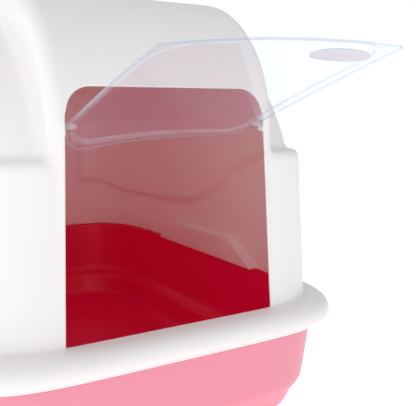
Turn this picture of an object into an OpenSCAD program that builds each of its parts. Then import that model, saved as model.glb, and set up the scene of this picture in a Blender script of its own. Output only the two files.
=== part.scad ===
/* [Overall] */
// Width across the rounded bead
width = 400; // [360:1:440]
// Length across the rounded bead
length = 560; // [520:1:600]
// Height of the roof above the floor
height = 400; // [396:1:404]
// Squareness of the plan outline
squareness = 5.8; // [4:0.1:8]
// Moulded wall thickness
wall = 3; // [2.4:0.1:3.2]

/* [Tray] */
// Height of the tray's top rim
rim_z = 111.6; // [111:0.1:111.7]
// Height at which the tray steps in to its foot
step_z = 33; // [31:1:37]
// Depth of that step
step_in = 9; // [6:0.5:12]

/* [Hood] */
// Underside of the bead
bead_z0 = 88; // [84:1:92]
// Top of the bead, level with the door sill
sill_z = 115; // [115:1:118]
// How far the bead stands out from the wall
bead_out = 20.5; // [19:0.5:22]
// Inward lean of the walls, as a slope
lean = 0.044; // [0.03:0.002:0.055]
// Width of the ledge between the lower and the upper body
ledge_w = 8; // [6:1:9]
// Half width of the raised band over the front, roof and back
band_half = 104; // [102:1:106]
// Radius of the roof edge at the front and back of the band
band_r = 121; // [116:1:124]

/* [Door] */
// Half width of the doorway at the sill
door_half = 98; // [96:1:99]
// Half width of the doorway at the pivots
pivot_half = 91; // [90:0.5:92]
// Height of the door's pivot line
pivot_z = 284; // [282:1:286]
// Top of the doorway above the pivot line
door_top = 30; // [29.5:0.5:33]
// Flap length below the pivot line
flap_len = 167; // [158:1:167]
// Half width of the flap at its free edge
flap_low_half = 94.5; // [90:0.5:96]
// Flap length above the pivot line
flap_top = 27.5; // [24:0.5:27.5]
// Lean of the flap's top part into the box, in degrees
flap_lean = 14; // [0:1:15]
// Sheet thickness of the flap
flap_t = 1.8; // [1.4:0.1:2]
// How far the flap stands open, in degrees up from hanging
open_angle = 108; // [95:1:110]

/* [Carry handle and vent] */
// Length of the carry handle's grip
handle_w = 116; // [100:1:124]
// Width of the filter opening
vent_w = 104; // [90:1:116]

/* [Hidden] */

white = [0.95, 0.95, 0.94];
pink = [0.96, 0.60, 0.70];
clear_blue = [0.86, 0.89, 0.96, 0.45];

seg = 64;
fine = 48;
eps = 0.02;
gap = 0.3;
run_gap = 0.05;
half_w = width / 2;
half_l = length / 2;

// ---- Outlines and skins ----

function side_sign(v) = v < 0 ? -1 : 1;
function bend(v) = side_sign(v) * pow(abs(v), 2 / squareness);

// Squared oval at one height: half width, then half length to the front and to the back
function ring(hw, front, back, z) = [
    for (i = [0:seg - 1])
        let (t = 360 * i / seg, s = bend(sin(t)))
        [hw * bend(cos(t)), s * (s < 0 ? front : back), z]
];

// Ring set in from the bead's outermost line
function inset_ring(d, z) = ring(half_w - d, half_l - d, half_l - d, z);

module skin(rings) {
    last = len(rings) - 1;
    sides = [
        for (r = [0:last - 1], i = [0:seg - 1])
            let (j = (i + 1) % seg, a = r * seg, b = a + seg)
            each [[a + i, b + i, b + j], [a + i, b + j, a + j]]
    ];
    bottom = [for (i = [0:seg - 1]) i];
    top = [for (i = [seg - 1:-1:0]) last * seg + i];
    polyhedron(points = [for (r = rings) each r], faces = concat(sides, [bottom, top]));
}

module mirrored() {
    children();
    mirror([1, 0, 0]) children();
}

// ---- Tray ----

flange_out = 14;
lip_z = 101;
tray_d = bead_out - lean * (rim_z - sill_z);
top_d = flange_out + 0.8;
step_d = top_d + 6.2;
foot_d = step_d + step_in;

// Inset and height along the tray's outside, from the floor to the shoulder under the bead
// and on to just under the flange
tray_outer = [
    [foot_d + 12, 0], [foot_d + 5, 2.5], [foot_d + 2, 9], [foot_d, step_z - 18], [step_d + 6, step_z - 12],
    [step_d + 2, step_z - 6], [step_d, step_z], [top_d, bead_z0 + 2],
    [tray_d - 0.6, bead_z0 + 5], [tray_d - 1.4, rim_z - wall]
];
// Flange, its turned-down lip and back along the top
tray_flange = [
    [flange_out + wall, rim_z - wall], [flange_out + wall, lip_z], [flange_out, lip_z],
    [flange_out, rim_z - 1.5], [flange_out + 1.5, rim_z]
];
// Down the inside, over the inner ledge to the floor
tray_inner = [
    [tray_d + 1.6, rim_z], [tray_d + 2.4, bead_z0], [step_d + 4.5, step_z + 10], [step_d + 6.5, step_z + 5],
    [foot_d + 5, step_z], [foot_d + 8, step_z - 4], [foot_d + 10, step_z - 15], [foot_d + 13, 2 * wall + 1],
    [foot_d + 18, wall]
];

module base_tray() {
    color(pink) skin([for (p = concat(tray_outer, tray_flange, tray_inner)) inset_ring(p[0], p[1])]);
}

// ---- Hood ----

wave_low = 172;
wave_rise = 88;
wave_mid = -70;
wave_width = 38;
wave_back = 17;
wave_back_y = 205;
wave_back_len = 42;

function smooth01(v) = let (c = min(max(v, 0), 1)) c * c * (3 - 2 * c);

// Height of the ledge, high at the front and sweeping down towards the back
function wave(y) =
    wave_low + wave_rise / (1 + exp((y - wave_mid) / wave_width))
    + wave_back * smooth01((y - wave_back_y) / wave_back_len);

lower_top = wave_low + wave_rise + 4;
function lower_ring(z, t) = inset_ring(bead_out + lean * (z - sill_z) + t, z);

// Lower body: one slab between each two stations of the wavy ledge
module lower_body(t) {
    stations = [-290, -235, -190, -160, -135, -110, -85, -60, -35, -10, 20, 60, 110, 205, 226, 290];
    intersection() {
        skin([lower_ring(t > 0 ? sill_z : bead_z0, t), lower_ring(lower_top, t)]);
        for (i = [0:len(stations) - 2]) {
            y0 = stations[i];
            y1 = stations[i + 1] + eps;
            hull()
                for (y = [y0, y1])
                    translate([-half_w, y, 0]) cube([width, eps, wave(y) - t]);
        }
    }
}

// Upper body: its front slopes back as an arc, its sides and back round over into the roof
slope_r = 250;
slope_y = -20;
slope_z = 148;
upper_z0 = 165;
side_round_z = 300;
side_round = 96;
back_round_z = 285;
back_round = 118;
upper_d = bead_out + ledge_w + 2.5;
upper_top = slope_z + slope_r;
upper_lean = 0.05;

function round_over(z, z0, z1, r) = z < z0 ? 0 : r * (1 - sqrt(max(0, 1 - pow((z - z0) / (z1 - z0), 2))));
function upper_ring(z, t) =
    let (top = upper_top - t,
        low = upper_lean * (z - upper_z0),
        reach = sqrt(max(0, pow(slope_r - t, 2) - pow(max(z, slope_z) - slope_z, 2))),
        front = min(reach - slope_y, half_l - upper_d - low - t))
    ring(
        half_w - upper_d - low - t - round_over(z, side_round_z, top + 1, side_round),
        front,
        half_l - upper_d - low - t - round_over(z, back_round_z, top + 1, back_round),
        z
    );

module upper_body(t) {
    levels = [upper_z0, 220, 250, 270, 290, 305, 320, 335, 349, 361, 372, 381, 388, 393, 396.5];
    skin(concat([for (z = levels) upper_ring(z > upper_z0 ? z - t : z, t)], [upper_ring(upper_top - t, t)]));
}

// Band: a box with long arcs at the front and back of the roof
band_edge = 12;
band_chamfer = 0.3 * band_edge;
band_steps = 10;
// Quarter circle, clockwise from angle a
function arc(y, z, r, a) = [
    for (i = [0:band_steps])
        let (b = a - 90 * i / band_steps)
        [y + r * cos(b), z + r * sin(b)]
];
function wall_y(z) = half_l - bead_out - lean * (z - sill_z);
function band_outline(t) =
    let (arc_z = height - band_r, arc_y = wall_y(arc_z) - band_r, r = band_r - t)
    concat(
        [[-wall_y(sill_z) + t, sill_z]],
        arc(-arc_y, arc_z, r, 180),
        arc(arc_y, arc_z, r, 90),
        [[wall_y(sill_z) - t, sill_z]]
    );

module band_slice(half, t) {
    rotate([90, 0, 90]) translate([0, 0, -half]) linear_extrude(2 * half) polygon(band_outline(t));
}

module band_body(t) {
    hull() {
        band_slice(band_half - t, t + band_edge);
        band_slice(band_half - t - band_chamfer, t + band_chamfer);
        band_slice(band_half - t - band_edge, t);
    }
}

// Bead: half of an ellipse standing out from the wall, open underneath for the tray's flange
bead_steps = 8;
bead_fullness = 0.8;
bead_mid = (bead_z0 + sill_z) / 2;
bead_high = (sill_z - bead_z0) / 2;
web = wall;
bead_lip = flange_out - 1.5;

module bead(t) {
    skin([
        for (i = [0:bead_steps])
            let (a = -90 + 180 * i / bead_steps,
                out = (bead_out - t) * pow(max(cos(a), eps), bead_fullness),
                z = bead_mid + (bead_high - (i == 0 ? 0 : t)) * sin(a))
            inset_ring(bead_out - out, i == 0 && t > 0 ? z - 1 : z)
    ]);
}

// Clip recess: a shallow trapezoid pressed into each side just above the bead
recess_y = [-119, -80, 57, 91];
recess_top = 136;
recess_x = half_w - bead_out - 10;
clip_y = -14;
clip_w = 104;
notch_gap = 8;
notch_x = recess_x + 9;
notch_top = 144;

module clip_recess(t) {
    mirrored()
        translate([recess_x - t, 0, 0]) rotate([90, 0, 90]) linear_extrude(half_w - recess_x)
            polygon([
                [recess_y[0] - t, sill_z - t], [recess_y[1] - t, recess_top + t],
                [recess_y[2] + t, recess_top + t], [recess_y[3] + t, sill_z - t]
            ]);
}

module clip_notch() {
    mirrored()
        translate([notch_x, clip_y - clip_w / 2 - notch_gap, bead_z0 - 4])
            cube([half_w - notch_x + 1, clip_w + 2 * notch_gap, notch_top - bead_z0 + 4]);
}

// Doorway: straight sides leaning in, square sill, rounded top corners
door_corner = 21;
door_z = pivot_z + door_top;
door_slope = (door_half - pivot_half) / (pivot_z - sill_z);
top_half = door_half - door_slope * (door_z - sill_z);

module doorway() {
    rotate([90, 0, 0]) linear_extrude(half_l) hull() {
        polygon([[-door_half, sill_z], [door_half, sill_z], [pivot_half, pivot_z], [-pivot_half, pivot_z]]);
        for (s = [-1, 1])
            translate([s * (top_half - door_corner), door_z - door_corner]) circle(door_corner, $fn = 32);
    }
}

// Pockets in the roof for the folded handle and for the filter
roof_z = height;
handle_y = -70;
handle_l = 62;
handle_deep = 16;
vent_y = 24;
vent_l = 92;
vent_deep = 18;

module roof_pocket(w, y, l, deep, t) {
    translate([-w / 2 - t, y - t, roof_z - deep - t]) cube([w + 2 * t, l + 2 * t, deep + t + 10]);
}
module handle_pocket(t) {
    roof_pocket(handle_w + 30, handle_y, handle_l, handle_deep, t);
}
module vent_pocket(t) {
    roof_pocket(vent_w, vent_y, vent_l, vent_deep, t);
}

slot_pitch = 12;
slot_w = 6;
slot_edge = 10;
module vent_slots() {
    for (i = [-3:3])
        translate([i * slot_pitch - slot_w / 2, vent_y + slot_edge, roof_z - vent_deep - 2 * wall])
            cube([slot_w, vent_l - 2 * slot_edge, 4 * wall]);
}

boss_w = 11;
boss_h = 13;
module hinge_notch() {
    mirrored()
        translate([pivot_half - wall, -half_l, pivot_z - boss_h / 2 - gap])
            cube([boss_w + wall + 0.2, half_l + pivot_y + 3 * wall, boss_h + 2 * gap]);
}

module hood_outer() {
    lower_body(0);
    upper_body(0);
    band_body(0);
    bead(0);
}

module hood_inner() {
    intersection() {
        union() {
            lower_body(wall);
            upper_body(wall);
            band_body(wall);
        }
        translate([-half_w, -half_l, sill_z - web + eps]) cube([width, length, height]);
    }
    bead_room();
}

// Room under the bead for the tray's flange, open below so that the hood lifts straight off
module bead_room() {
    intersection() {
        bead(wall);
        translate([-half_w, -half_l, 0]) cube([width, length, sill_z - web]);
    }
    skin([inset_ring(bead_lip, bead_z0 - 2), inset_ring(bead_lip, sill_z - web)]);
    skin([lower_ring(sill_z - web - 1, wall), lower_ring(sill_z + 1, wall)]);
}

module hood_shell() {
    color(white) union() difference() {
        hood_outer();
        difference() {
            hood_inner();
            clip_recess(wall);
            handle_pocket(wall);
            vent_pocket(wall);
        }
        clip_recess(0);
        clip_notch();
        handle_pocket(0);
        vent_pocket(0);
        vent_slots();
        doorway();
        hinge_notch();
    }
}

// ---- Door ----

pivot_y = -248.5;
pin_r = 2.2;
flap_half = pivot_half - 1.5;
flap_reach = min(flap_len, pivot_z - sill_z - 2);
flap_bow = 4.5;
bow_r = (pow(flap_half, 2) + pow(flap_bow, 2)) / (2 * flap_bow);
rib_in = 5;
rib_w = 2;
rib_deep = 3;
rib_corner = 25;
top_corner = 24;
low_corner = 3;
knuckle_r = 4;
knuckle_len = 8.5;
knuckle_end = 0.6;
sheet_room = 600;
crease_lap = 0.6;

// Brings the hanging flap to its open rest position
module opened() {
    translate([0, pivot_y, pivot_z]) rotate([-open_angle, 0, 0]) children();
}

module flap_outline(t, corner) {
    hull() {
        for (s = [-1, 1]) {
            translate([s * (flap_low_half - t - corner), -flap_reach + t + corner]) circle(corner, $fn = fine);
            translate([s * (flap_half - t - top_corner), flap_top - t - top_corner]) circle(top_corner, $fn = fine);
        }
    }
}

// Sheet between two arcs that share an axis, bowed outwards in the middle
module bowed_sheet(inner, outer) {
    translate([0, bow_r - flap_bow, 0]) difference() {
        cylinder(r = bow_r + outer, h = sheet_room, center = true, $fn = 96);
        cylinder(r = bow_r + inner, h = sheet_room + 2, center = true, $fn = 96);
    }
}

// An outline in x and z, thick enough to take in the whole bow
module upright() {
    rotate([90, 0, 0]) linear_extrude(12 * flap_bow, center = true) children();
}

// Lays a cylinder along +X, starting at x
module along_x(x, y = 0, z = 0) {
    translate([x, y, z]) rotate([0, 90, 0]) children();
}

// Lays a cylinder along -Y, starting at y
module along_y(x, y, z) {
    translate([x, y, z]) rotate([90, 0, 0]) children();
}

// Sheet and rib on one side of the crease along the pivot line: 1 is above it, -1 below it
module leaf(side) {
    intersection() {
        union() {
            intersection() {
                bowed_sheet(0, flap_t);
                upright() flap_outline(0, low_corner);
            }
            intersection() {
                bowed_sheet(flap_t - eps, flap_t + rib_deep);
                upright() difference() {
                    flap_outline(rib_in, rib_corner);
                    flap_outline(rib_in + rib_w, rib_corner - rib_w);
                }
            }
        }
        rotate([side * flap_lean / 2, 0, 0])
            translate([-half_w, -half_w, side > 0 ? -crease_lap : crease_lap - width]) cube(width);
    }
}

module door_flap() {
    color(clear_blue) opened() {
        difference() {
            union() {
                leaf(-1);
                rotate([-flap_lean, 0, 0]) leaf(1);
                mirrored() along_x(flap_half - knuckle_end - knuckle_len)
                    cylinder(r = knuckle_r, h = knuckle_len, $fn = fine);
            }
            mirrored() along_x(flap_half - pin_seat) cylinder(r = pin_r, h = 2 * pin_seat, $fn = fine);
        }
    }
}

// Pivot peg pressed into the flap, with a collar outside it, turning in its boss
pin_seat = 8;
pin_len = 15.5;
collar_gap = 0.3;
collar_t = 1;
module door_pin() {
    opened() along_x(flap_half - pin_seat) {
        cylinder(r = pin_r, h = pin_len, $fn = fine);
        translate([0, 0, pin_seat + collar_gap]) cylinder(r = pin_r + 0.8, h = collar_t, $fn = fine);
    }
}
module door_pin_right() {
    color(clear_blue) door_pin();
}
module door_pin_left() {
    color(clear_blue) mirror([1, 0, 0]) door_pin();
}

boss_front = 3.4;
boss_deep = 9.5;
boss_bore = 8;
module hinge_boss() {
    difference() {
        translate([pivot_half, pivot_y - boss_front, pivot_z - boss_h / 2]) cube([boss_w, boss_deep, boss_h]);
        along_x(pivot_half - 1, pivot_y, pivot_z) cylinder(r = pin_r + run_gap, h = boss_bore + 1, $fn = fine);
    }
}
module hinge_boss_right() {
    color(white) hinge_boss();
}
module hinge_boss_left() {
    color(white) mirror([1, 0, 0]) hinge_boss();
}

// Oval push pad on the outside of the flap, right of the middle and near the free edge
pad_x = 60;
pad_long = 26;
pad_high = 10.5;
pad_end_r = 7.5;
pad_from_edge = 26;
pad_t = 1.2;
pad_lift = 0.02;

module pad_outline() {
    hull()
        for (s = [-1, 1]) {
            translate([s * (pad_long - pad_end_r), 0]) circle(pad_end_r, $fn = fine);
            translate([s * (pad_long - pad_high) / 3, 0]) circle(pad_high, $fn = fine);
        }
}

module door_push_pad() {
    color([0.82, 0.80, 0.84]) opened() intersection() {
        bowed_sheet(flap_t + pad_lift, flap_t + pad_t);
        translate([pad_x, 0, -flap_reach + pad_from_edge]) upright() pad_outline();
    }
}

// ---- Side clips ----

clip_px = half_w - bead_out + 7;
clip_pz = 121;
clip_pin_r = 2;
clip_barrel_r = 4.2;
clip_face = half_w - 0.2;
clip_t = 3;
shoulder_r = 3;
shoulder = [clip_face - 2 * shoulder_r, clip_pz - 2];
plate_x = clip_face - clip_t / 2;
plate_z = [clip_pz - 12, 91.5];
hook_r = 1.2;
hook_z = lip_z - 2.1;
hook_x = half_w - flange_out - wall + 0.2;

module joined(p, r, q, s) {
    hull() {
        translate(p) circle(r, $fn = fine);
        translate(q) circle(s, $fn = fine);
    }
}

// Barrel, shoulder, upright plate with a finger tab below, and the hook under the tray's lip
module clip_profile() {
    joined([clip_px, clip_pz], clip_barrel_r, shoulder, shoulder_r);
    joined(shoulder, shoulder_r, [plate_x, plate_z[0]], clip_t / 2);
    joined([plate_x, plate_z[0]], clip_t / 2, [plate_x, plate_z[1]], clip_t / 2);
    joined([plate_x, hook_z], clip_t / 2, [hook_x, hook_z + 0.2], hook_r);
}

module side_clip() {
    difference() {
        along_y(0, clip_y + clip_w / 2, 0) linear_extrude(clip_w) clip_profile();
        along_y(clip_px, clip_y + clip_w, clip_pz)
            cylinder(r = clip_pin_r + run_gap, h = 2 * clip_w, $fn = fine);
    }
}
module side_clip_right() {
    color(pink) side_clip();
}
module side_clip_left() {
    color(pink) mirror([1, 0, 0]) side_clip();
}

pin_past = 6;
module clip_pin() {
    along_y(clip_px, clip_y + clip_w / 2 + pin_past, clip_pz)
        cylinder(r = clip_pin_r, h = clip_w + 2 * pin_past, $fn = fine);
}
module clip_pin_right() {
    color(white) clip_pin();
}
module clip_pin_left() {
    color(white) mirror([1, 0, 0]) clip_pin();
}

lug_t = 5.4;
lug_h = 12;
module clip_lugs() {
    for (s = [-1, 1])
        let (y = clip_y + s * (clip_w / 2 + 0.9 + lug_t / 2))
            difference() {
                translate([recess_x + gap, y - lug_t / 2, sill_z + gap])
                    cube([clip_px - recess_x + 4, lug_t, lug_h]);
                along_y(clip_px, y + lug_t, clip_pz) cylinder(r = clip_pin_r, h = 2 * lug_t, $fn = fine);
            }
}
module clip_lugs_right() {
    color(white) clip_lugs();
}
module clip_lugs_left() {
    color(white) mirror([1, 0, 0]) clip_lugs();
}

// ---- Carry handle ----

handle_py = handle_y + handle_l - 9;
handle_pz = roof_z - 8;
handle_pin_r = 2.5;
arm_w = 9;
arm_h = 10;
grip_y = handle_y + 12;
grip_r = 7;
arm_x = handle_w / 2 - arm_w / 2;

module carry_handle() {
    color(pink) difference() {
        union() {
            along_x(-arm_x, grip_y, handle_pz) cylinder(r = grip_r, h = 2 * arm_x, $fn = fine);
            mirrored() {
                translate([arm_x, grip_y, handle_pz]) sphere(grip_r, $fn = fine);
                translate([arm_x - arm_w / 2, grip_y, handle_pz - arm_h / 2])
                    cube([arm_w, handle_py - grip_y, arm_h]);
                along_x(arm_x - arm_w / 2, handle_py, handle_pz) cylinder(r = arm_h / 2, h = arm_w, $fn = fine);
            }
        }
        mirrored() along_x(arm_x - arm_w, handle_py, handle_pz)
            cylinder(r = handle_pin_r + run_gap, h = 2 * arm_w, $fn = fine);
    }
}

module handle_pin() {
    along_x(arm_x - arm_w / 2 - 1, handle_py, handle_pz) cylinder(r = handle_pin_r, h = 2 * arm_w + 1, $fn = fine);
}
module handle_pin_right() {
    color(white) handle_pin();
}
module handle_pin_left() {
    color(white) mirror([1, 0, 0]) handle_pin();
}

handle_lug_x = arm_x + arm_w / 2 + 1;
handle_lug_l = 14;
handle_lug_h = 13.5;
module handle_lugs() {
    color(white) mirrored() difference() {
        translate([handle_lug_x, handle_py - handle_lug_l / 2, roof_z - handle_deep + gap])
            cube([handle_w / 2 + 15 - handle_lug_x - gap, handle_lug_l, handle_lug_h]);
        along_x(handle_lug_x - 1, handle_py, handle_pz) cylinder(r = handle_pin_r, h = 9.5, $fn = fine);
    }
}

// ---- Filter ----

cover_t = 3;
cover_gap = 1;
cover_py = vent_y + vent_l - 5.5;
cover_pz = roof_z - 4;
cover_pin_r = 1.5;
cover_barrel_r = 3.2;
cover_z0 = roof_z - cover_t - 0.4;
cover_back = 9.5;
cover_slots = 7;
cover_slot_y = 12;
cover_slot_pitch = 9;
cover_slot_w = 4.5;
hinge_in = 14;
barrel_w = vent_w - 2 * hinge_in;
neck = 6;

module filter_cover() {
    color(pink) difference() {
        union() {
            translate([-vent_w / 2 + cover_gap, vent_y + cover_gap, cover_z0])
                cube([vent_w - 2 * cover_gap, vent_l - 2 * cover_gap - cover_back, cover_t]);
            along_x(-barrel_w / 2, cover_py, cover_pz) cylinder(r = cover_barrel_r, h = barrel_w, $fn = fine);
            translate([-barrel_w / 2, cover_py - neck, cover_z0]) cube([barrel_w, neck, cover_t]);
        }
        for (i = [0:cover_slots - 1])
            translate([1 - barrel_w / 2, vent_y + cover_slot_y + i * cover_slot_pitch, cover_z0 - 1])
                cube([barrel_w - 2, cover_slot_w, cover_t + 2]);
        along_x(-vent_w / 2, cover_py, cover_pz) cylinder(r = cover_pin_r + run_gap, h = vent_w, $fn = fine);
    }
}

module filter_cover_pins() {
    color(white) mirrored()
        along_x(barrel_w / 2 - 10, cover_py, cover_pz) cylinder(r = cover_pin_r, h = 20, $fn = fine);
}

filter_lug_l = 8;
module filter_lugs() {
    color(white) mirrored() difference() {
        translate([barrel_w / 2 + 1, cover_py - filter_lug_l / 2, roof_z - vent_deep + gap])
            cube([hinge_in - 1 - gap, filter_lug_l, vent_deep - 2]);
        along_x(barrel_w / 2, cover_py, cover_pz) cylinder(r = cover_pin_r, h = 11, $fn = fine);
    }
}

felt_gap = 3;
felt_t = 8;
module filter_pad() {
    color([0.2, 0.2, 0.21])
        translate([-vent_w / 2 + felt_gap, vent_y + felt_gap, roof_z - vent_deep + gap])
            cube([vent_w - 2 * felt_gap, vent_l - 2 * felt_gap - cover_back, felt_t]);
}

base_tray();
hood_shell();
hinge_boss_left();
hinge_boss_right();
door_flap();
door_pin_left();
door_pin_right();
door_push_pad();
side_clip_left();
side_clip_right();
clip_pin_left();
clip_pin_right();
clip_lugs_left();
clip_lugs_right();
carry_handle();
handle_pin_left();
handle_pin_right();
handle_lugs();
filter_cover();
filter_cover_pins();
filter_lugs();
filter_pad();
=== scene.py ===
import math

import bmesh
import bpy
import numpy as np
from mathutils import Matrix, Vector


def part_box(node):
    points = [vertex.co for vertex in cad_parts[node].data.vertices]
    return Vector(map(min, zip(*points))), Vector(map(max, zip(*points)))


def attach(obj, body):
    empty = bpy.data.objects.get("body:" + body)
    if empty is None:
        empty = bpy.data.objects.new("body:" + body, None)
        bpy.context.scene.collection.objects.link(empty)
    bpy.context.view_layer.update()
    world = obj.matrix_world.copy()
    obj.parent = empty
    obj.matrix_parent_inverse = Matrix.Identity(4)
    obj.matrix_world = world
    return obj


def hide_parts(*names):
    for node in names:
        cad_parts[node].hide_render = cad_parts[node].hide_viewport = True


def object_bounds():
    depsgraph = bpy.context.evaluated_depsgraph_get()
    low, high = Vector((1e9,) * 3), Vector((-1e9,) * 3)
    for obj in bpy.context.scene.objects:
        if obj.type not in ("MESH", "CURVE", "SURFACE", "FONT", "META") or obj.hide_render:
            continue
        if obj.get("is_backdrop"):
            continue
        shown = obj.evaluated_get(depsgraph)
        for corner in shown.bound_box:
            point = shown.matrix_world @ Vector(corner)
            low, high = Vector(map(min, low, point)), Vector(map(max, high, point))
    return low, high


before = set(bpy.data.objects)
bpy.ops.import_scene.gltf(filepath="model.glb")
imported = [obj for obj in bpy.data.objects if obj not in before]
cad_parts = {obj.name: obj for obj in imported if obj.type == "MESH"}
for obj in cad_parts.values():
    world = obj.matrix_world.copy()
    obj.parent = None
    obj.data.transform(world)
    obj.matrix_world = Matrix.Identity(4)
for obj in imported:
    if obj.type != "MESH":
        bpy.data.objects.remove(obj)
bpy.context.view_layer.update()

# All shapes below are worked out in millimetres, in the CAD frame, and scaled to metres at the end.
MM = 0.001
HALF_W, HALF_L, HEIGHT = 200.0, 280.0, 400.0
POWER = 5.8
SILL, BEAD_OUT, LEAN, WALL = 115.0, 20.5, 0.044, 3.0
# Height of the bead's middle and half its thickness
BEAD_MID, BEAD_RISE = 101.5, 13.5
# Inner face, middle, half length and top of the notch that each side clip stands in
NOTCH_X, NOTCH_Y, NOTCH_HALF, NOTCH_TOP = 178.5, -14, 60, 144
PIVOT_Y, PIVOT_Z = -248.5, 284.0
DOOR_TOP, DOOR_CORNER = 30.0, 21.0
# Half width of the doorway at the sill, and how much narrower it is at the pivots
DOOR_HALF, DOOR_TAPER = 98.0, 7.0
# Half width, front, back and floor of the pockets in the roof
HANDLE_POCKET, VENT_POCKET = (73, -70, -8, 384), (52, 24, 116, 382)


# ---- Fields: negative inside, close to a true distance near the surface ----

def smin(a, b, k):
    """The smaller of two fields, blended over k where they cross."""
    h = np.maximum(k - np.abs(a - b), 0) / k
    return np.minimum(a, b) - h * h * k / 4


def smax(a, b, k):
    return -smin(-a, -b, k)


def plan(x, y, a, b):
    """Distance in plan to the squared oval with half axes a and b."""
    u, v = np.abs(x) / a, np.abs(y) / b
    m = np.maximum(np.maximum(u, v), 1e-9)
    g = np.maximum(m * ((u / m) ** POWER + (v / m) ** POWER) ** (1 / POWER), 1e-6)
    gx, gy = (u / g) ** (POWER - 1) / a, (v / g) ** (POWER - 1) / b
    return (g - 1) / np.maximum(np.hypot(gx, gy), 1e-3)


def wave(y):
    """Height of the wavy ledge along the side."""
    s = np.clip((y - 205) / 42, 0, 1)
    return 172 + 88 / (1 + np.exp((y + 70) / 38)) + 17 * s * s * (3 - 2 * s)


def lower(x, y, z):
    """Lower part of the hood, below the wavy ledge."""
    d = BEAD_OUT + LEAN * (z - SILL)
    slope = (wave(y + 1) - wave(y - 1)) / 2
    top = (z - wave(y)) / np.sqrt(1 + slope * slope)
    return smax(plan(x, y, HALF_W - d, HALF_L - d), top, 9)


def round_over(z, z0, z1, r):
    u = np.clip((z - z0) / (z1 - z0), 0, 1)
    return r * (1 - np.sqrt(1 - u * u))


def upper(x, y, z):
    """Domed upper part of the hood."""
    def raw(z):
        low = 0.05 * (z - 165)
        flat = HALF_L - 31 - low
        reach = np.sqrt(np.maximum(0, 250.0 ** 2 - (np.maximum(z, 148) - 148) ** 2))
        front = smin(reach + 20, flat, 12)
        back = flat - round_over(z, 285, 399, 118)
        return plan(x, y, HALF_W - 31 - low - round_over(z, 300, 399, 96), np.where(y < 0, front, back))

    grow = raw(z + 0.5) - raw(z - 0.5)
    return smax(raw(z) / np.sqrt(1 + grow * grow), z - 398, 4)


def band(x, y, z):
    """Raised band that runs over the hood and carries the doorway."""
    arc_z, r, edge = 279.0, 121.0, 12.0
    arc_y = HALF_L - BEAD_OUT - LEAN * (arc_z - SILL) - r
    v = np.abs(y)
    side = v - (HALF_L - BEAD_OUT - LEAN * (z - SILL))
    arc = np.hypot(v - arc_y, z - arc_z) - r
    f = np.where(z < arc_z, side, np.where(v > arc_y, arc, z - HEIGHT))
    a, b = np.abs(x) - 104 + edge, f + edge
    return np.minimum(np.maximum(a, b), 0) + np.hypot(np.maximum(a, 0), np.maximum(b, 0)) - edge


def pocket(x, y, z, half, y0, y1, floor):
    qx, qy = np.abs(x) - half + 6, np.abs(y - (y0 + y1) / 2) - (y1 - y0) / 2 + 6
    side = np.minimum(np.maximum(qx, qy), 0) + np.hypot(np.maximum(qx, 0), np.maximum(qy, 0)) - 6
    return smax(side, floor - z, 3)


def recess(x, y, z):
    """Trapezoid pressed into each side of the hood, round the side clip."""
    s = (z - SILL) / 21
    f = np.maximum((-119 + 39 * s - y) * 0.474, (y - 91 + 34 * s) * 0.5255)
    return np.maximum(np.maximum(f, 169.5 - np.abs(x)), np.maximum(z - 136, SILL - z))


def body(x, y, z):
    ledge = np.clip((z - wave(y) + 8) / 8, 0, 1)
    f = smin(upper(x, y, z), band(x, y, z), 9)
    f = smin(lower(x, y, z), f, 0.6 + 5 * ledge)
    f = smax(f, -recess(x, y, z), 3)
    f = smax(f, -pocket(x, y, z, *HANDLE_POCKET), 3)
    return smax(f, -pocket(x, y, z, *VENT_POCKET), 3)


def bead(x, y, z):
    """Rounded bead at the foot of the hood."""
    out = plan(x, y, HALF_W, HALF_L) + BEAD_OUT
    u, v = np.maximum(out, 0) / BEAD_OUT, np.abs(z - BEAD_MID) / BEAD_RISE
    g = np.maximum(np.sqrt(u ** 2.5 + v * v), 1e-6)
    return (g - 1) / np.maximum(np.hypot(1.25 * u ** 1.5 / g / BEAD_OUT, v / g / BEAD_RISE), 1e-6)


def hood_outer(x, y, z):
    f = smin(np.maximum(body(x, y, z), 100 - z), bead(x, y, z), 3)
    notch = np.maximum(np.maximum(NOTCH_X - np.abs(x), np.abs(y - NOTCH_Y) - NOTCH_HALF), z - NOTCH_TOP)
    return smax(f, -notch, 2)


def hood_inner(x, y, z):
    inset = -plan(x, y, HALF_W, HALF_L)
    room = np.maximum(np.minimum(bead(x, y, z) + WALL, 12.5 - inset), z - 112)
    return np.maximum(np.minimum(body(x, y, z) + WALL, room), 80 - z)


# ---- Meshes from fields ----

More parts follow.
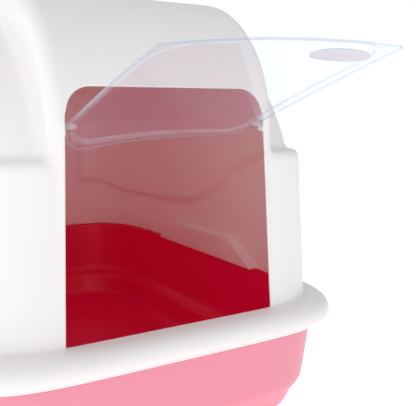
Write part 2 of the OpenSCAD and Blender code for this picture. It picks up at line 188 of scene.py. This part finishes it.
def field_mesh(field, lo, hi, h, smooth=3):
    """Vertices and quads of the surface where field is 0, on a grid of step h, then drawn onto it."""
    lo = np.array(lo, float)
    n = np.ceil((np.array(hi, float) - lo) / h).astype(int) + 1
    ax = [lo[i] + h * np.arange(n[i]) for i in range(3)]
    F = np.empty(n, np.float32)
    for i in range(0, n[0], 16):
        F[i:i + 16] = field(*np.meshgrid(ax[0][i:i + 16], ax[1], ax[2], indexing="ij"))
    S = F < 0
    c = n - 1
    total = sum(S[i:c[0] + i, j:c[1] + j, k:c[2] + k].astype(np.int8)
                for i in (0, 1) for j in (0, 1) for k in (0, 1))
    cells = np.argwhere((total > 0) & (total < 8))
    index = np.full(c, -1, np.int32)
    index[tuple(cells.T)] = np.arange(len(cells))
    pos, count = np.zeros((len(cells), 3)), np.zeros(len(cells))
    quads = []
    for axis in range(3):
        o1, o2 = (axis + 1) % 3, (axis + 2) % 3
        for u in (0, 1):
            for v in (0, 1):
                a = np.zeros(3, int)
                a[o1], a[o2] = u, v
                b = a.copy()
                b[axis] = 1
                fa, fb = F[tuple((cells + a).T)], F[tuple((cells + b).T)]
                cross = (fa < 0) != (fb < 0)
                t = fa[cross] / (fa[cross] - fb[cross])
                pos[cross] += a + t[:, None] * (b - a)
                count += cross
        first, second = [slice(1, -1)] * 3, [slice(1, -1)] * 3
        first[axis], second[axis] = slice(0, -1), slice(1, None)
        A, B = S[tuple(first)], S[tuple(second)]
        e = np.argwhere(A != B)
        inside = A[tuple(e.T)]
        e[:, o1] += 1
        e[:, o2] += 1
        d1, d2 = np.eye(3, dtype=int)[o1], np.eye(3, dtype=int)[o2]
        ring = np.stack([index[tuple(q.T)] for q in (e - d1 - d2, e - d2, e, e - d1)], 1)
        ring[~inside] = ring[~inside][:, ::-1]
        quads.append(ring)
    quads = np.concatenate(quads)
    P = lo + h * (cells + pos / count[:, None])
    ends = np.concatenate([quads[:, [i, (i + 1) % 4]] for i in range(4)])
    degree = np.bincount(ends[:, 0], minlength=len(P)).astype(float)
    for turn in range(smooth + 1):
        P, normal = onto(field, P)
        if turn < smooth:
            mean = np.stack([np.bincount(ends[:, 0], P[ends[:, 1], k], len(P)) for k in range(3)], 1)
            mean /= degree[:, None]
            move = mean - P
            P = P + 0.5 * (move - (move * normal).sum(1)[:, None] * normal)
    return P, quads


def onto(field, P, rounds=3, e=0.05):
    """Draws points onto the surface where field is 0, and gives their normals."""
    for _ in range(rounds):
        f = field(*P.T)
        g = np.stack([field(*(P + d).T) - field(*(P - d).T) for d in np.eye(3) * e], 1) / (2 * e)
        size = np.maximum(np.linalg.norm(g, axis=1), 1e-3)
        P = P - g / size[:, None] * np.clip(f / size, -1, 1)[:, None]
    return P, g / size[:, None]


def new_object(name, P, faces, scale=MM):
    mesh = bpy.data.meshes.new(name)
    mesh.from_pydata((np.asarray(P, float) * scale).tolist(), [], [list(map(int, f)) for f in faces])
    mesh.update()
    o = bpy.data.objects.new(name, mesh)
    bpy.context.scene.collection.objects.link(o)
    return o


def cut(o, cutter):
    """Takes cutter out of o, with the exact solver if the fast one changes nothing."""
    for solver in ("MANIFOLD", "EXACT"):
        m = o.modifiers.new("cut", "BOOLEAN")
        m.operation = "DIFFERENCE"
        m.solver = solver
        m.object = cutter
        dg = bpy.context.evaluated_depsgraph_get()
        mesh = bpy.data.meshes.new_from_object(o.evaluated_get(dg))
        o.modifiers.clear()
        if len(mesh.polygons) > 0 and len(mesh.polygons) != len(o.data.polygons):
            o.data = mesh
            break
    bpy.data.objects.remove(cutter)


def face_outwards(o):
    bm = bmesh.new()
    bm.from_mesh(o.data)
    bmesh.ops.recalc_face_normals(bm, faces=bm.faces)
    bm.to_mesh(o.data)
    bm.free()


def finish_piece(o, body_name, materials, nodes=(), angle=32, kinds=None):
    o.data.materials.clear()
    for m in materials:
        o.data.materials.append(m)
    if kinds is not None:
        o.data.polygons.foreach_set("material_index", [int(k) for k in kinds])
    o.data.polygons.foreach_set("use_smooth", [True] * len(o.data.polygons))
    o.data.set_sharp_from_angle(angle=math.radians(angle))
    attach(o, body_name)
    if nodes:
        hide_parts(*nodes)
    return o


def prism(name, outline, y0, y1):
    """Cutter: an outline in x and z, drawn out along y."""
    k = len(outline)
    P = [(x, y, z) for y in (y0, y1) for x, z in outline]
    faces = [list(range(k)), list(range(2 * k - 1, k - 1, -1))]
    faces += [[i, k + i, k + (i + 1) % k, (i + 1) % k] for i in range(k)]
    o = new_object(name, P, faces)
    face_outwards(o)
    return o


def skin(count, K):
    """Faces of a closed body drawn through count loops of K points each."""
    faces = [[r * K + i, r * K + (i + 1) % K, (r + 1) * K + (i + 1) % K, (r + 1) * K + i]
             for r in range(count - 1) for i in range(K)]
    return faces + [list(range(K))[::-1], [(count - 1) * K + i for i in range(K)]]


def tube(path, r, sides):
    """Vertices and faces of a round tube along path."""
    path = np.asarray(path, float)
    t = np.gradient(path, axis=0)
    t /= np.linalg.norm(t, axis=1)[:, None]
    side = np.cross(t, np.array([0, 1, 0.001]))
    side /= np.linalg.norm(side, axis=1)[:, None]
    up = np.cross(side, t)
    a = np.arange(sides) * 2 * math.pi / sides
    across, along = np.cos(a)[None, :, None], np.sin(a)[None, :, None]
    P = path[:, None] + r * (across * side[:, None] + along * up[:, None])
    return P.reshape(-1, 3), skin(len(path), sides)


# ---- Materials ----

def new_material(name):
    material = bpy.data.materials.new(name)
    material.use_nodes = True
    return material, material.node_tree


def add_node(tree, kind, **values):
    """A new node of this kind, with inputs named by their labels, spaces written as underscores."""
    node = tree.nodes.new(f"ShaderNode{kind}")
    for label, value in values.items():
        node.inputs[label.replace("_", " ")].default_value = value
    return node


def plastic(name, color, rough=0.32, bump=0.05, grain=900, drift=0.012, through=0.0):
    """Moulded plastic: fine orange peel, faint flow marks, some light coming through."""
    material, tree = new_material(name)
    link = tree.links.new
    shader = tree.nodes["Principled BSDF"]
    place = add_node(tree, "TexCoord")
    cloud = add_node(tree, "TexNoise", Scale=9, Detail=4)
    peel = add_node(tree, "TexNoise", Scale=grain, Detail=2)
    link(place.outputs["Object"], cloud.inputs["Vector"])
    link(place.outputs["Object"], peel.inputs["Vector"])
    shade = add_node(tree, "Mix")
    shade.data_type = "RGBA"
    shade.inputs[6].default_value = (*[c * (1 - drift) for c in color], 1)
    shade.inputs[7].default_value = (*color, 1)
    link(cloud.outputs["Fac"], shade.inputs[0])
    link(shade.outputs[2], shader.inputs["Base Color"])
    gloss = add_node(tree, "MapRange", From_Min=0.3, From_Max=0.7,
                     To_Min=rough - 0.03, To_Max=rough + 0.08)
    link(cloud.outputs["Fac"], gloss.inputs["Value"])
    link(gloss.outputs["Result"], shader.inputs["Roughness"])
    relief = add_node(tree, "Bump", Strength=bump, Distance=0.0004)
    link(peel.outputs["Fac"], relief.inputs["Height"])
    link(relief.outputs["Normal"], shader.inputs["Normal"])
    if through:
        glow = add_node(tree, "BsdfTranslucent")
        link(shade.outputs[2], glow.inputs["Color"])
        mix = add_node(tree, "MixShader", Fac=through)
        link(shader.outputs["BSDF"], mix.inputs[1])
        link(glow.outputs["BSDF"], mix.inputs[2])
        link(mix.outputs["Shader"], tree.nodes["Material Output"].inputs["Surface"])
    return material


def clear(name, tint, gloss=0.04, haze=0.0, haze_color=(1, 1, 1)):
    """Thin clear sheet: what is behind it stays in place, with the mirror of its surface over it."""
    material, tree = new_material(name)
    link = tree.links.new
    tree.nodes.clear()
    out = add_node(tree, "OutputMaterial")
    see = add_node(tree, "BsdfTransparent", Color=(*tint, 1))
    shine = add_node(tree, "BsdfGlossy")
    ripple = add_node(tree, "TexNoise", Scale=25)
    place = add_node(tree, "TexCoord")
    link(place.outputs["Object"], ripple.inputs["Vector"])
    polish = add_node(tree, "MapRange", To_Min=gloss, To_Max=gloss + 0.06)
    link(ripple.outputs["Fac"], polish.inputs["Value"])
    link(polish.outputs["Result"], shine.inputs["Roughness"])
    facing = add_node(tree, "LayerWeight", Blend=0.5)
    power = add_node(tree, "Math")
    power.operation = "POWER"
    power.inputs[1].default_value = 5
    fresnel = add_node(tree, "MapRange", To_Min=0.02, To_Max=0.3)
    link(facing.outputs["Facing"], power.inputs[0])
    link(power.outputs[0], fresnel.inputs["Value"])
    last = add_node(tree, "MixShader")
    link(fresnel.outputs["Result"], last.inputs["Fac"])
    link(see.outputs["BSDF"], last.inputs[1])
    link(shine.outputs["BSDF"], last.inputs[2])
    if haze:
        fog = add_node(tree, "BsdfDiffuse", Color=(*haze_color, 1))
        veil = add_node(tree, "MixShader", Fac=haze)
        link(last.outputs["Shader"], veil.inputs[1])
        link(fog.outputs["BSDF"], veil.inputs[2])
        last = veil
    link(last.outputs["Shader"], out.inputs["Surface"])
    return material


def felt(name):
    material, tree = new_material(name)
    link = tree.links.new
    shader = tree.nodes["Principled BSDF"]
    shader.inputs["Sheen Weight"].default_value = 0.4
    place = add_node(tree, "TexCoord")
    fibre = add_node(tree, "TexNoise", Scale=700, Detail=6, Distortion=2)
    link(place.outputs["Object"], fibre.inputs["Vector"])
    shade = add_node(tree, "Mix")
    shade.data_type = "RGBA"
    shade.inputs[6].default_value = (0.01, 0.01, 0.012, 1)
    shade.inputs[7].default_value = (0.09, 0.09, 0.095, 1)
    link(fibre.outputs["Fac"], shade.inputs[0])
    link(shade.outputs[2], shader.inputs["Base Color"])
    dull = add_node(tree, "MapRange", To_Min=0.85, To_Max=1.0)
    link(fibre.outputs["Fac"], dull.inputs["Value"])
    link(dull.outputs["Result"], shader.inputs["Roughness"])
    relief = add_node(tree, "Bump", Strength=0.8, Distance=0.001)
    link(fibre.outputs["Fac"], relief.inputs["Height"])
    link(relief.outputs["Normal"], shader.inputs["Normal"])
    return material


PINK = (0.85, 0.285, 0.37)
white = plastic("hood_white", (0.98, 0.94, 0.935), rough=0.35, through=0.13)
# Inner faces of the hood: the same white plastic with a pink tint painted in, a painted reflection of the
# light the tray throws back
white_painted_bounce = plastic("hood_white_painted_bounce", (0.985, 0.85, 0.855), rough=0.35, through=0.22)
pink = plastic("tray_pink", PINK, rough=0.35)
# Inside of the tray: the same plastic drawn a deeper red than the outside, painted shade and colour
# bounce
red_painted_shade = plastic("tray_pink_painted_shade", (0.95, 0.002, 0.1), rough=0.35, grain=1200, bump=0.06)
accent = plastic("accent_pink", PINK, rough=0.35)
nylon = plastic("pin_nylon", (0.82, 0.82, 0.80), rough=0.5)
sheet_clear = clear("flap_clear", (0.998, 0.995, 1.0), haze=0.03, haze_color=(0.7, 0.6, 1.0))
edge_clear = clear("flap_edge", (0.85, 0.87, 0.92), gloss=0.1, haze=0.15, haze_color=(0.74, 0.78, 0.88))
rib_clear = clear("flap_rib", (0.96, 0.965, 0.99), gloss=0.06, haze=0.15, haze_color=(0.95, 0.96, 1))
frosted = plastic("push_pad_frosted", (0.70, 0.67, 0.70), rough=0.55, bump=0.1)
charcoal = felt("filter_felt")


# ---- Tray ----

def columns(count=320):
    """Angles that space points evenly round the tray's outline."""
    t = np.linspace(0, 2 * math.pi, 20001)
    ring = oval(t, HALF_W, HALF_L)
    run = np.concatenate([[0], np.cumsum(np.linalg.norm(np.diff(ring, axis=0), axis=1))])
    return np.interp(np.arange(count) * run[-1] / count, run, t)


def oval(t, a, b):
    c, s = np.cos(t), np.sin(t)
    x, y = a * np.sign(c) * np.abs(c) ** (2 / POWER), b * np.sign(s) * np.abs(s) ** (2 / POWER)
    return np.stack([x, y], 1)


def soften(points, radii, steps=4):
    """Rounds each corner of an open profile by its own radius."""
    P = np.asarray(points, float)
    out = [P[0]]
    for i in range(1, len(P) - 1):
        a, b, c = P[i - 1], P[i], P[i + 1]
        la, lc = np.linalg.norm(a - b), np.linalg.norm(c - b)
        r = min(radii[i] if hasattr(radii, "__len__") else radii, la * 0.48, lc * 0.48)
        p, q = b + (a - b) / la * r, b + (c - b) / lc * r
        for t in np.linspace(0, 1, steps + 1):
            out.append((1 - t) ** 2 * p + 2 * t * (1 - t) * b + t * t * q)
    out.append(P[-1])
    return np.array(out)


# Inset and height round the tray's wall: outside from the floor up, over the rim, and down the inside
tray_profile = [(42, 0), (35, 2.5), (32, 9), (30, 15), (27, 21), (23, 27), (21, 33), (15, 88),
                (15.4, 90.5), (20, 93), (19.25, 108.6), (17, 108.6), (17, 101), (14, 101),
                (14, 110.1), (15.5, 111.6),
                (22.25, 111.6), (23.05, 88), (25.5, 43), (27.5, 38), (35, 33), (38, 29), (40, 18),
                (43, 7), (48, 3)]
tray_radius = [0, 3, 4, 4, 3, 3, 5, 2, 1.5, 1.5, 1.5, 1, 1.5, 1.5, 3, 3, 3, 8, 5, 5, 5, 4, 6, 6, 0]
profile = soften(tray_profile, tray_radius)
T = columns()
rings = [np.c_[oval(T, HALF_W - d, HALF_L - d), np.full(len(T), z)] for d, z in profile]
K = len(T)
P = np.concatenate(rings)
# Faces from the rim inwards and the inside floor are marked for the deeper red, the painted shade
quads, inner = [], []
rim = len(soften(tray_profile[:17], tray_radius[:17])) - 3
for r in range(len(rings) - 1):
    for i in range(K):
        j = (i + 1) % K
        quads.append([r * K + i, r * K + j, (r + 1) * K + j, (r + 1) * K + i])
        inner.append(r >= rim)
# floor inside and underside, each as rings drawn in to the middle
P = list(P)
for base, z, flip, mark in (((len(rings) - 1) * K, 3.0, False, True), (0, 0.0, True, False)):
    last = [base + i for i in range(K)]
    for share in (0.75, 0.5, 0.25):
        start = len(P)
        ring = np.array(P[base:base + K])
        P += list(np.c_[ring[:, :2] * share, np.full(K, z)])
        now = [start + i for i in range(K)]
        for i in range(K):
            j = (i + 1) % K
            q = [last[i], last[j], now[j], now[i]]
            quads.append(q[::-1] if flip else q)
            inner.append(mark)
        last = now
    quads.append(last[::-1] if flip else last)
    inner.append(mark)
tray = new_object("tray_moulding", np.array(P), quads)
finish_piece(tray, "tray", [pink, red_painted_shade], ["base_tray"], angle=50, kinds=inner)


# ---- Hood ----

STEP = 2.5
hood = new_object("hood_moulding", *field_mesh(hood_outer, (-206, -286, 82), (206, 286, 406), STEP))
cavity = new_object("cavity", *field_mesh(hood_inner, (-206, -286, 74), (206, 286, 402), STEP))
cut(hood, cavity)


def doorway(grow):
    """Outline of the doorway in x and z, from the left foot over the top to the right foot."""
    slope = DOOR_TAPER / (PIVOT_Z - SILL)
    top, r = PIVOT_Z + DOOR_TOP + grow, DOOR_CORNER + grow
    half = lambda z: DOOR_HALF - slope * (z - SILL) + grow
    cx, cz = half(top) - r, top - r
    right = [(half(SILL), SILL)] + [(half(z), z) for z in np.linspace(SILL, cz, 12)[1:]]
    right += [(cx + r * math.cos(a), cz + r * math.sin(a)) for a in np.linspace(0, math.pi / 2, 12)[1:]]
    return [(-x, z) for x, z in right] + [(x, z) for x, z in right[::-1]]


cut(hood, prism("door_cut", doorway(1.5), -300, -200))
for x in range(-36, 37, 12):
    a = np.linspace(0, math.pi, 9)
    outline = [(x + 3 * math.cos(t), 103 + 3 * math.sin(t)) for t in a]
    outline += [(x - 3 * math.cos(t), 37 - 3 * math.sin(t)) for t in a]
    slot = prism("slot", outline, 360, 395)
    slot.data.transform(Matrix(((1, 0, 0, 0), (0, 0, 1, 0), (0, 1, 0, 0), (0, 0, 0, 1))))
    slot.data.flip_normals()
    cut(hood, slot)
# Faces deep inside the shell take the pink-tinted material, the painted bounce light from the tray
centre = np.array([tuple(p.center) for p in hood.data.polygons]) / MM
painted_bounce_faces = (hood_outer(*centre.T) < -1.8).astype(int)
finish_piece(hood, "hood", [white, white_painted_bounce], ["hood_shell"], angle=38, kinds=painted_bounce_faces)


def front_y(x, z):
    """Where the hood's front stands at x and z."""
    y = np.full(np.shape(x), -262.0)
    step = np.full(np.shape(x), 32.0)
    for _ in range(40):
        step = step / 2
        y = np.where(body(x, y, z) > 0, y + step, y - step)
    return y


lip = np.array(doorway(1.5))
dense = []
for a, b in zip(lip[:-1], lip[1:]):
    k = max(1, int(np.hypot(*(b - a)) / 3))
    dense += [a + (b - a) * i / k for i in range(k)]
dense = np.array(dense + [lip[-1]])
path = np.c_[dense[:, 0], front_y(dense[:, 0], dense[:, 1]) + 1.5, dense[:, 1]]
rimmed = new_object("doorway_edge", *tube(path, 1.5, 12))
finish_piece(rimmed, "hood", [white], angle=60)


# ---- Flap ----

FLAP_HALF, FLAP_LOW_HALF, FLAP_LEN, FLAP_TOP, BOW = 89.5, 94.5, 167.0, 27.5, 4.2
BOW_R = (FLAP_HALF ** 2 + BOW ** 2) / (2 * BOW)
OPEN = math.radians(-109.4)
TWIST, SAG = 0.044, 5.4
CREASE, LEAN_TOP = 3.0, math.radians(22)
TOP_TWIST, TOP_BOW = 0.075, 3.0


def flap_ring(d, low, high, share=1.0):
    """Outline of the flap set in by d, with its corner radii at the free edge and at the top."""
    low, high = max(low, 0.3), max(high, 0.3)
    pts = []
    foot, top = -FLAP_LEN + d, FLAP_TOP - d
    for sx, z0, r in ((1, foot, low), (1, top, high), (-1, top, high), (-1, foot, low)):
        up = z0 > 0
        cx, cz = sx * ((FLAP_HALF if up else FLAP_LOW_HALF) - d - r), z0 - r if up else z0 + r
        start = {(1, False): -90, (1, True): 0, (-1, True): 90, (-1, False): 180}[(sx, up)]
        for k in range(13):
            a = math.radians(start + 90 * k / 12)
            pts.append((cx + r * math.cos(a), cz + r * math.sin(a)))
    out = []
    for i, p in enumerate(pts):
        q = pts[(i + 1) % len(pts)]
        out.append(p)
        if i % 13 == 12:
            out += [(p[0] + (q[0] - p[0]) * k / 44, p[1] + (q[1] - p[1]) * k / 44) for k in range(1, 44)]
    out = np.array(out)
    middle = np.array([0, (FLAP_TOP - FLAP_LEN) / 2])
    return middle + (out - middle) * share


def bowed(xz, h):
    """Points on the sheet, h outside its inner face: creased at the pivots, sagging, a little twisted."""
    x, z = xz.T
    t = np.clip(-z / FLAP_LEN, 0, 1)
    y = BOW_R - BOW - np.sqrt((BOW_R + h) ** 2 - x * x)
    u = np.clip(z / FLAP_TOP, 0, 1)
    y = y - (TOP_BOW * (1 - (x / FLAP_HALF) ** 2) + TOP_TWIST * x) * u
    run = np.linspace(-CREASE, 60, 600)
    s = np.clip((run + CREASE) / (2 * CREASE), 0, 1)
    turn = LEAN_TOP * s * s * (3 - 2 * s)
    step = run[1] - run[0]
    over = np.cumsum(np.sin(turn)) * step
    up = np.cumsum(np.cos(turn)) * step - CREASE
    bent = z > -CREASE
    phi = np.where(bent, np.interp(z, run, turn), 0)
    yc, zc = np.where(bent, np.interp(z, run, over), 0), np.where(bent, np.interp(z, run, up), z)
    return np.c_[x, yc + y * np.cos(phi) - TWIST * x * t + SAG * t * t, zc - y * np.sin(phi)]


def opened(P):
    c, s = math.cos(OPEN), math.sin(OPEN)
    P = np.asarray(P, float)
    return np.c_[P[:, 0], P[:, 1] * c - P[:, 2] * s + PIVOT_Y, P[:, 1] * s + P[:, 2] * c + PIVOT_Z]


sheet = 1.8
shares = np.linspace(0.02, 1, 26)
# Each loop: inset, corner radius at the free edge, corner radius at the top, height, share of size
loop = [(12, 12, 24, 0, s) for s in shares]
loop += [(6, 6, 24, 0, 1), (1, 3, 23, 0, 1), (0.35, 3, 24, 0.12, 1), (0, 3, 24, 0.5, 1),
         (0, 3, 24, 1.3, 1), (0.35, 3, 24, 1.68, 1), (1, 3, 23, sheet, 1), (4, 18, 24, sheet, 1)]
loop += [(4.7, 25, 24, sheet + 0.15, 1), (5, 25, 24, sheet + 0.8, 1), (5.1, 25, 24, sheet + 2.3, 1),
         (5.4, 25, 24, sheet + 2.85, 1), (6, 24, 23, sheet + 3, 1), (6.6, 23, 22, sheet + 2.85, 1),
         (6.9, 23, 22, sheet + 2.3, 1), (7, 23, 22, sheet + 0.8, 1), (7.3, 23, 22, sheet + 0.15, 1),
         (8, 22, 21, sheet, 1)]
loop += [(12, 20, 20, sheet, s) for s in shares[::-1]]
rows = [opened(bowed(flap_ring(d, lo, hi, s), h)) for d, lo, hi, h, s in loop]


def lofted(name, rows):
    """A closed body drawn through rows of points, each row a loop of the same length."""
    K = len(rows[0])
    o = new_object(name, np.concatenate(rows), skin(len(rows), K))
    face_outwards(o)
    return o, [r for r in range(len(rows) - 1) for _ in range(K)] + [-1, -1]


flap, row_of = lofted("flap_sheet", rows)
n = len(shares)
kind = [1 if n + 1 <= r <= n + 5 else 2 if n + 7 <= r <= n + 16 else 0 for r in row_of]
finish_piece(flap, "door", [sheet_clear, edge_clear, rib_clear], ["door_flap"],
             angle=60, kinds=kind)


def pad_ring(d):
    """Oval of the push pad, set in by d."""
    a = np.arange(96) * 2 * math.pi / 96
    c, s = np.cos(a), np.sin(a)
    x = 60 + (26 - d) * np.sign(c) * np.abs(c) ** 0.92
    return np.stack([x, -FLAP_LEN + 26 + (10.5 - d) * np.sign(s) * np.abs(s) ** 0.92], 1)


pad_loop = [(d, sheet + 0.02) for d in (10.3, 7, 3.5, 0.3)]
pad_loop += [(0.08, sheet + 0.1), (0, sheet + 0.35), (0.1, sheet + 0.75), (0.4, sheet + 1.02)]
pad_loop += [(0.9, sheet + 1.12), (1.6, sheet + 1.1), (2.1, sheet + 0.95), (2.8, sheet + 0.9)]
pad_loop += [(5, sheet + 0.92), (7.5, sheet + 0.95), (10.3, sheet + 0.96)]
oval_pad, _ = lofted("push_pad_oval", [opened(bowed(pad_ring(d), h)) for d, h in pad_loop])
finish_piece(oval_pad, "door", [frosted], ["door_push_pad"], angle=50)


# ---- Smaller pieces: the CAD shape with its edges rounded ----

def refine(node, name, body_name, material, width=0.5, segments=2, angle=30):
    bm = bmesh.new()
    bm.from_mesh(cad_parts[node].data)
    bmesh.ops.remove_doubles(bm, verts=bm.verts, dist=1e-5)
    bmesh.ops.dissolve_limit(bm, angle_limit=math.radians(0.5), verts=bm.verts, edges=bm.edges)
    edges = [e for e in bm.edges if len(e.link_faces) == 2 and e.calc_face_angle(0) > math.radians(angle)]
    if width:
        bmesh.ops.bevel(bm, geom=edges, offset=width * MM, offset_type="OFFSET", segments=segments,
                        profile=0.5, affect="EDGES", clamp_overlap=True)
    bmesh.ops.triangulate(bm, faces=[f for f in bm.faces if len(f.verts) > 4])
    mesh = bpy.data.meshes.new(name)
    bm.to_mesh(mesh)
    bm.free()
    o = bpy.data.objects.new(name, mesh)
    bpy.context.scene.collection.objects.link(o)
    return finish_piece(o, body_name, [material], [node])


for side in ("left", "right"):
    boss = refine(f"hinge_boss_{side}", f"boss_{side}", "hood", white, 0.6, 3)
    at = np.array([tuple(v.co) for v in boss.data.vertices]) / MM
    for v, y in zip(boss.data.vertices, front_y(at[:, 0], at[:, 2])):
        v.co.y = max(v.co.y, (float(y) + 0.8) * MM)
    refine(f"door_pin_{side}", f"peg_{side}", "door", rib_clear, 0.4)
    refine(f"side_clip_{side}", f"clip_{side}_latch", f"clip_{side}", accent, 0.5, 3)
    refine(f"clip_pin_{side}", f"clip_{side}_rod", "hood", nylon, 0.4)
    refine(f"clip_lugs_{side}", f"clip_{side}_lugs", "hood", white, 0.6, 3)
    refine(f"handle_pin_{side}", f"handle_{side}_rod", "hood", nylon, 0.4)
refine("carry_handle", "handle_grip", "handle", accent, 1.2, 3)
refine("handle_lugs", "handle_brackets", "hood", white, 0.8, 3)
refine("filter_cover", "vent_lid", "vent_cover", accent, 0.5, 2)
refine("filter_cover_pins", "vent_rods", "hood", nylon, 0.3)
refine("filter_lugs", "vent_brackets", "hood", white, 0.6, 3)

lo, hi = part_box("filter_pad")
bm = bmesh.new()
bmesh.ops.create_cube(bm, size=1)
bmesh.ops.subdivide_edges(bm, edges=bm.edges, cuts=23, use_grid_fill=True)
rng = np.random.default_rng(7)
mid, half = (lo + hi) / 2, (hi - lo) / 2
for v in bm.verts:
    p = Vector(v.co) * 2
    q = Vector((math.copysign(min(abs(p.x), 1), p.x), math.copysign(min(abs(p.y), 1), p.y), p.z))
    edge = max(abs(q.x), abs(q.y))
    thick = 1 - 0.28 * max(0, (edge - 0.86) / 0.14) ** 2
    wob = 0.0006 * rng.standard_normal()
    up = q.z * half.z * thick * 0.9 + (wob if abs(q.z) > 0.9 else 0)
    v.co = mid + Vector((q.x * (half.x - 0.001), q.y * (half.y - 0.001), up))
mesh = bpy.data.meshes.new("filter_felt_pad")
bm.to_mesh(mesh)
bm.free()
felt_pad = bpy.data.objects.new("filter_felt_pad", mesh)
bpy.context.scene.collection.objects.link(felt_pad)
finish_piece(felt_pad, "hood", [charcoal], ["filter_pad"], angle=60)


# ---- Studio ----

scene = bpy.context.scene
scene.view_settings.view_transform = "Standard"
scene.view_settings.look = "None"

# The light comes mostly from the left and from below. What the camera sees directly is plain white.
world = bpy.data.worlds.new("studio")
world.use_nodes = True
tree = world.node_tree
sky = tree.nodes["Background"]
sky.inputs["Color"].default_value = (0.93, 1, 1, 1)
place = add_node(tree, "TexCoord")
slant = add_node(tree, "VectorMath")
slant.operation = "DOT_PRODUCT"
slant.inputs[1].default_value = (0.72, 0.0, 0.69)
fade = add_node(tree, "MapRange", From_Min=-0.6, From_Max=0.9, To_Min=1.28, To_Max=0.54)
seen = add_node(tree, "LightPath")
pick = add_node(tree, "Mix", B=1.1)
tree.links.new(place.outputs["Generated"], slant.inputs[0])
tree.links.new(slant.outputs["Value"], fade.inputs["Value"])
tree.links.new(seen.outputs["Is Camera Ray"], pick.inputs["Factor"])
tree.links.new(fade.outputs["Result"], pick.inputs["A"])
tree.links.new(pick.outputs["Result"], sky.inputs["Strength"])
scene.world = world

far = 30
corners = [(-far, -far, 0), (far, -far, 0), (far, far, 0), (-far, far, 0)]
floor = new_object("floor", corners, [[0, 1, 2, 3]], scale=1)
floor.location.z = -0.0005
pale, tree = new_material("floor_pale")
for label, value in (("Base Color", (0.97, 0.97, 0.97, 1)), ("Roughness", 0.8),
                     ("Emission Color", (1, 1, 1, 1)), ("Emission Strength", 0.54)):
    tree.nodes["Principled BSDF"].inputs[label].default_value = value
floor.data.materials.append(pale)
floor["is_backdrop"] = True

key = bpy.data.lights.new("key", "AREA")
key.shape = "RECTANGLE"
key.size, key.size_y = 1.6, 1.2
key.energy = 2
key_o = bpy.data.objects.new("key", key)
key_o.location = (-1.6, -2.4, 0.8)
key_o.rotation_euler = (Vector((0, 0, 0.2)) - key_o.location).to_track_quat("-Z", "Y").to_euler()
scene.collection.objects.link(key_o)
# Light bounces many times inside the hood and colours its walls, on top of the pink painted onto their
# inner faces
scene.cycles.max_bounces = 24
scene.cycles.diffuse_bounces = 14
scene.cycles.transmission_bounces = 14

yaw, pitch = math.radians(31.64), math.radians(8.55)
ahead = Vector((math.sin(yaw) * math.cos(pitch), math.cos(yaw) * math.cos(pitch), -math.sin(pitch)))
cam = bpy.data.cameras.new("camera")
cam.sensor_width = 36
# Focal length in pixels over the photo's width in pixels
cam.lens = 642.9 / 416 * cam.sensor_width
cam_o = bpy.data.objects.new("camera", cam)
cam_o.location = (-0.2527, -0.7157, 0.2990)
cam_o.rotation_euler = ahead.to_track_quat("-Z", "Y").to_euler()
scene.collection.objects.link(cam_o)
scene.camera = cam_o

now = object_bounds()
